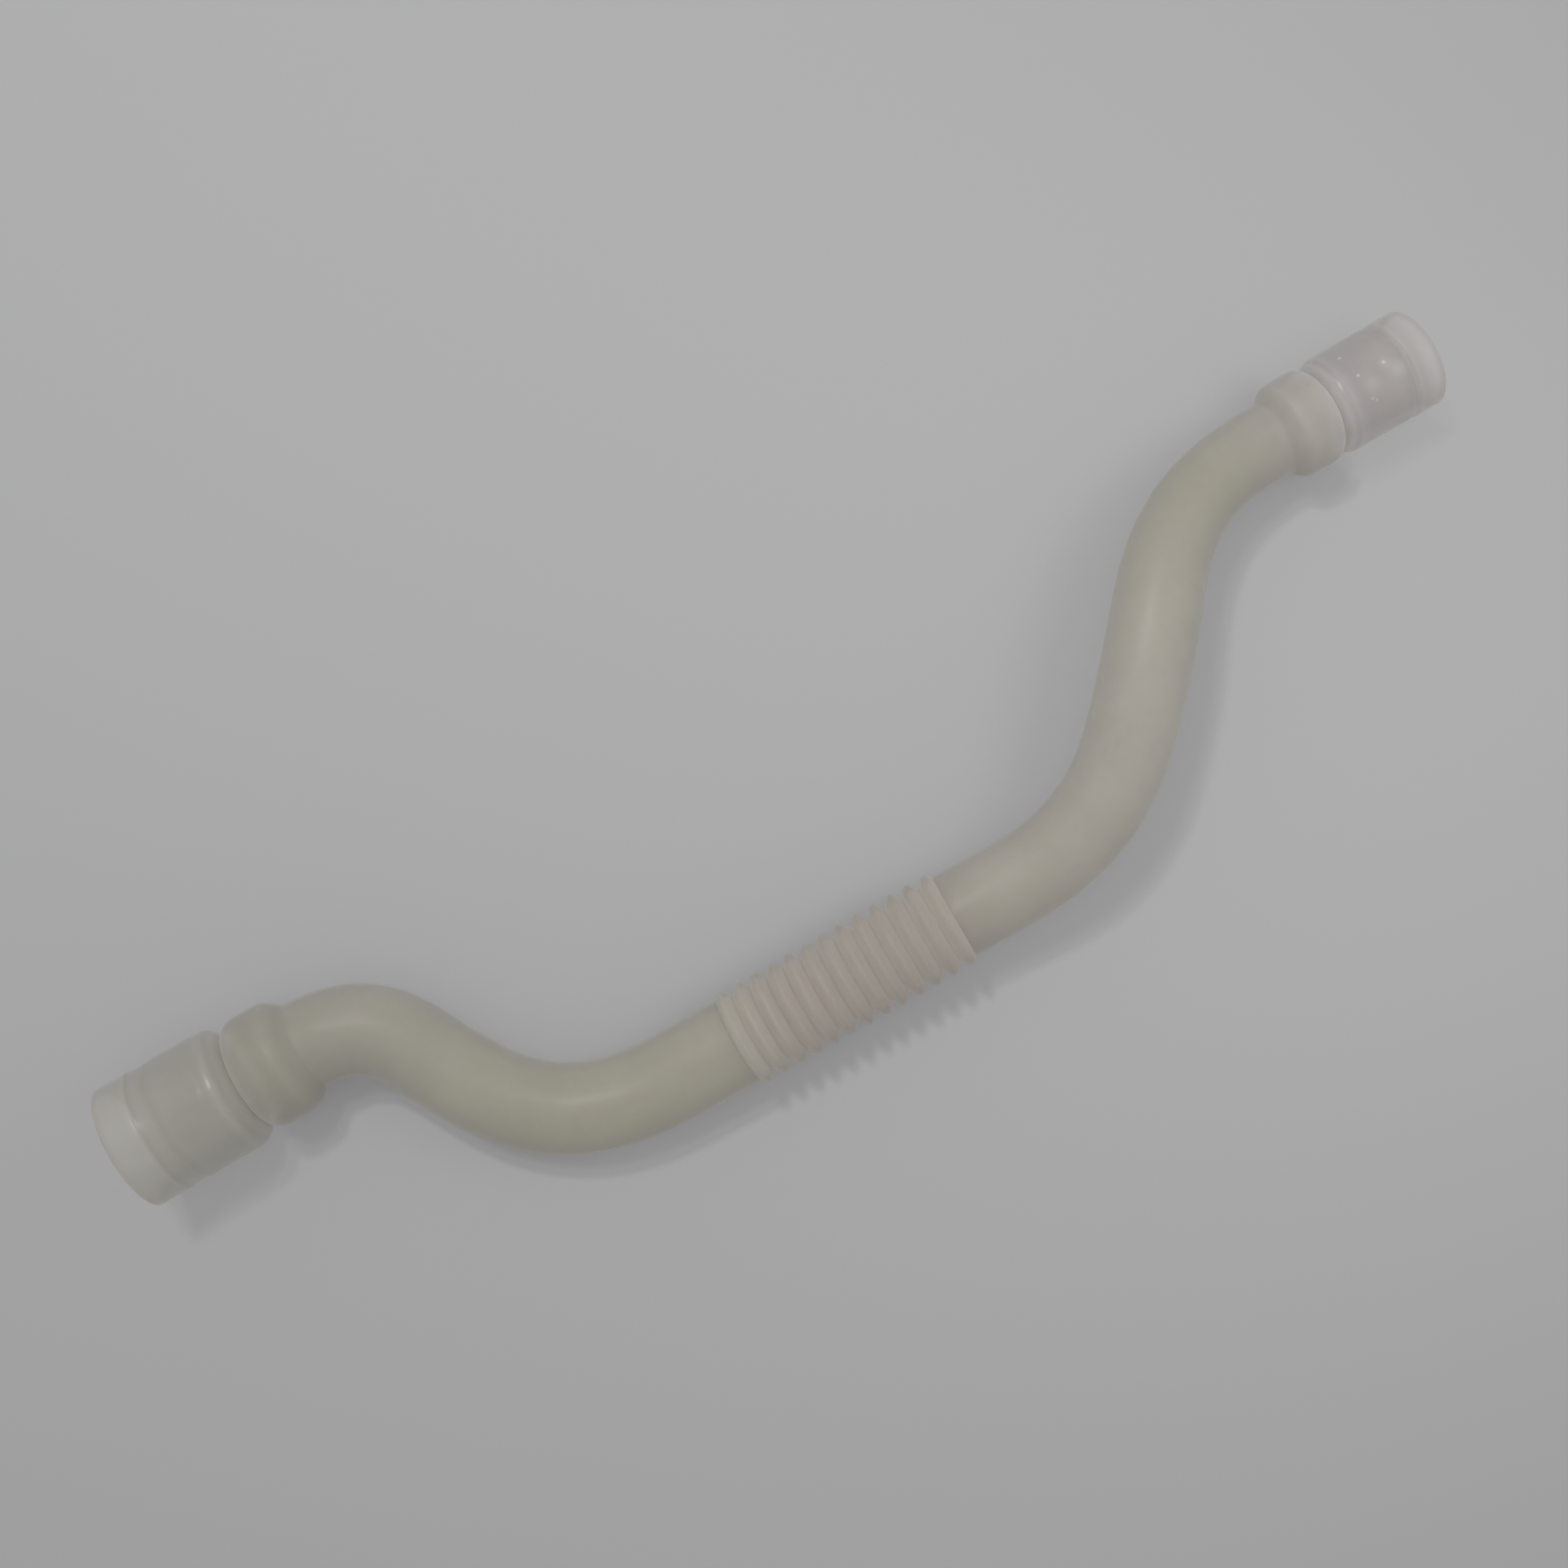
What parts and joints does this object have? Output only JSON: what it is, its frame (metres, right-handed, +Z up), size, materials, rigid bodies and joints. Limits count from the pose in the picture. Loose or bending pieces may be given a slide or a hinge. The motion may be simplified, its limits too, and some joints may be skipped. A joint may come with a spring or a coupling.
{
  "type": "recirculation intake hose",
  "caption": "Moulded hose of milky elastomer with a wide and a small clamp cuff, two S-bends, a bellows between them and a tapered neck.",
  "frame": {"origin": "on the table, under the middle of the hose as it lies", "axes": "+X along the three parallel straight runs, from the wide cuff towards the small one, +Y towards the side both cuffs are on, +Z up from the table"},
  "size_m": [0.3298, 0.078, 0.0342],
  "materials": {
    "milky_elastomer": "milky translucent, satin"
  },
  "bodies": {
    "root": {"hose_body": "milky_elastomer"}
  },
  "joints": []
}
